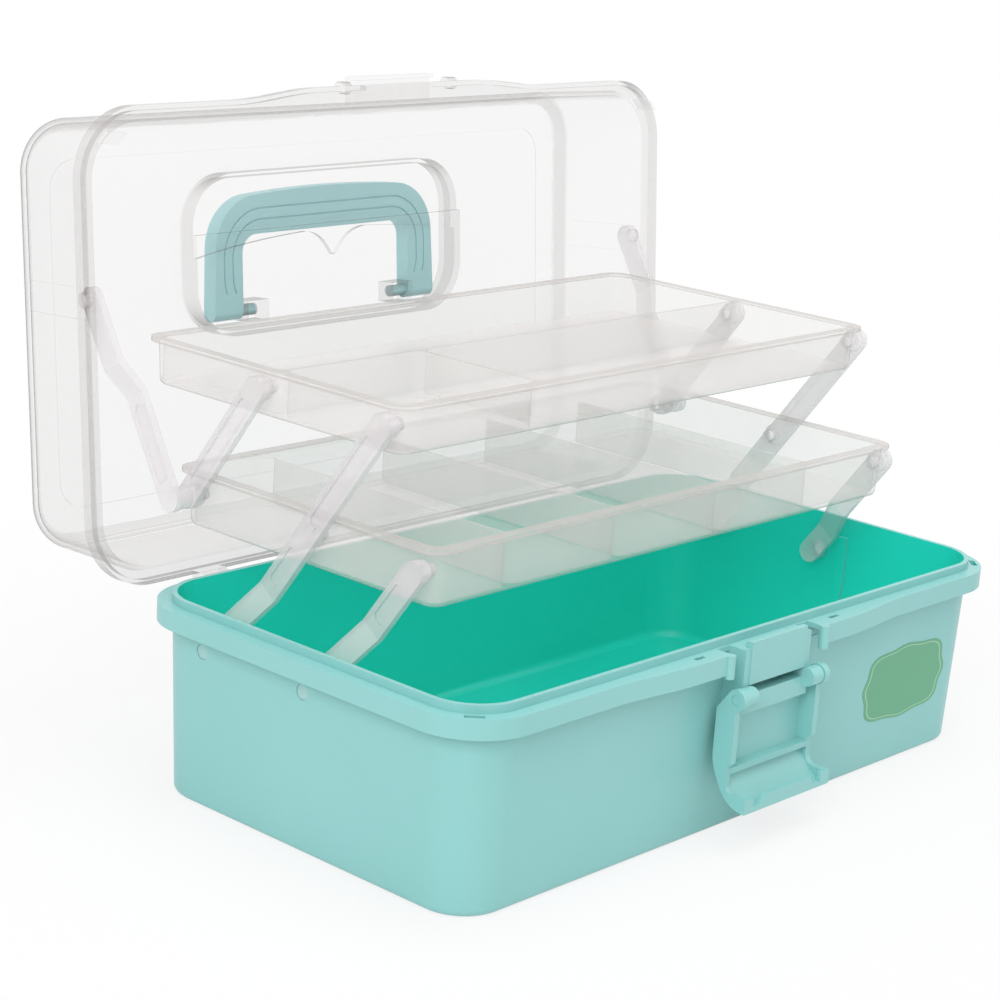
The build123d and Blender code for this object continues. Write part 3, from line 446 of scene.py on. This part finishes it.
def grown(name, tree, values, place):
    """Object grown by a node tree, kept as a plain mesh with its place in the mesh."""
    holder = bpy.data.objects.new(name + "_source", bpy.data.meshes.new(name + "_source"))
    bpy.context.scene.collection.objects.link(holder)
    modifier = holder.modifiers.new("grow", "NODES")
    modifier.node_group = tree
    for socket in tree.interface.items_tree:
        if socket.in_out == "INPUT" and socket.name in values:
            modifier[socket.identifier] = values[socket.name]
    bpy.context.view_layer.update()
    seen = holder.evaluated_get(bpy.context.evaluated_depsgraph_get())
    mesh = bpy.data.meshes.new_from_object(seen)
    holder.modifiers.remove(modifier)
    bpy.data.objects.remove(holder)
    mesh.name = name
    mesh.transform(place)
    piece = bpy.data.objects.new(name, mesh)
    bpy.context.scene.collection.objects.link(piece)
    return piece


def stick_label():
    wall_up = Vector((0, -math.sin(WALL_LEAN), math.cos(WALL_LEAN)))
    wall_out = Vector((0, -math.cos(WALL_LEAN), -math.sin(WALL_LEAN)))
    on_wall = Matrix((Vector((1, 0, 0)), wall_up, wall_out)).transposed().to_4x4()
    spot = Vector((LABEL_X, WALL_Y, LABEL_Z)) + wall_out * LABEL_GAP
    place = Matrix.Translation(spot) @ on_wall
    label = grown("blank_label", scalloped_plate_tree(label_film), LABEL, place)
    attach(label, "base")


stick_label()

# Floor, world and lamps, in metres and watts. Close to the box the floor keeps a part of its
# shadow for the camera, and further off it is white
FLOOR_RADIUS = 3.0
FLOOR_CORNERS = 96
FLOOR_GREY = 0.86
WHITE_FROM = 0.2
WHITE_AT = 0.5
WHITE_NEAR_BOX = 0.8
SOFT_LEVEL = 0.55
WHITE_LEVEL = 1.0
LIT_POINT = (0, 0, 0.1)


def camera_like(tree):
    """1 for rays that show a surface to the camera, straight, mirrored or through plastic."""
    path = add(tree, "ShaderNodeLightPath")
    first = add(tree, "ShaderNodeMath", {
        0: path.outputs["Is Camera Ray"], 1: path.outputs["Is Glossy Ray"],
    }, operation="MAXIMUM")
    both = add(tree, "ShaderNodeMath", {
        0: first.outputs[0], 1: path.outputs["Is Transmission Ray"],
    }, operation="MAXIMUM")
    return both.outputs[0]


def make_floor():
    mesh = bpy.data.meshes.new("floor")
    shape = bmesh.new()
    bmesh.ops.create_circle(shape, cap_ends=True, segments=FLOOR_CORNERS, radius=FLOOR_RADIUS)
    shape.to_mesh(mesh)
    shape.free()
    floor = bpy.data.objects.new("floor", mesh)
    bpy.context.scene.collection.objects.link(floor)
    material, tree = blank_material("pale_floor")
    matt = add(tree, "ShaderNodeBsdfDiffuse", {"Color": (FLOOR_GREY, FLOOR_GREY, FLOOR_GREY, 1)})
    white = add(tree, "ShaderNodeEmission", {"Color": (1, 1, 1, 1), "Strength": WHITE_LEVEL})
    place = add(tree, "ShaderNodeTexCoord")
    away = add(tree, "ShaderNodeVectorMath", {0: place.outputs["Object"]}, operation="LENGTH")
    lit = add(tree, "ShaderNodeMapRange", {
        "Value": away.outputs["Value"], "From Min": WHITE_FROM, "From Max": WHITE_AT,
        "To Min": WHITE_NEAR_BOX, "To Max": 1.0,
    }, interpolation_type="SMOOTHSTEP")
    share = add(tree, "ShaderNodeMath", {
        0: camera_like(tree), 1: lit.outputs["Result"],
    }, operation="MULTIPLY")
    final = add(tree, "ShaderNodeMixShader", {
        0: share.outputs[0], 1: matt.outputs[0], 2: white.outputs[0],
    })
    add(tree, "ShaderNodeOutputMaterial", {"Surface": final.outputs[0]})
    mesh.materials.append(material)


def make_world():
    world = bpy.data.worlds.new("studio")
    world.use_nodes = True
    tree = world.node_tree
    tree.nodes.clear()
    soft = add(tree, "ShaderNodeBackground", {"Color": (1, 1, 1, 1), "Strength": SOFT_LEVEL})
    white = add(tree, "ShaderNodeBackground", {"Color": (1, 1, 1, 1), "Strength": WHITE_LEVEL})
    mixed = add(tree, "ShaderNodeMixShader", {
        0: camera_like(tree), 1: soft.outputs[0], 2: white.outputs[0],
    })
    add(tree, "ShaderNodeOutputWorld", {"Surface": mixed.outputs[0]})
    bpy.context.scene.world = world


def softbox(name, place, size, power):
    data = bpy.data.lights.new(name, "AREA")
    data.size = size
    data.energy = power
    lamp = bpy.data.objects.new(name, data)
    bpy.context.scene.collection.objects.link(lamp)
    lamp.location = place
    lamp.rotation_euler = (Vector(LIT_POINT) - Vector(place)).to_track_quat("-Z", "Y").to_euler()


make_floor()
make_world()
softbox("key_left", (-1.8, -0.9, 1.4), size=1.2, power=22)
softbox("overhead", (0.1, -0.2, 2.0), size=1.4, power=16)
softbox("fill_right", (1.5, -1.4, 0.7), size=1.0, power=2)

bpy.context.scene.view_settings.view_transform = "Standard"
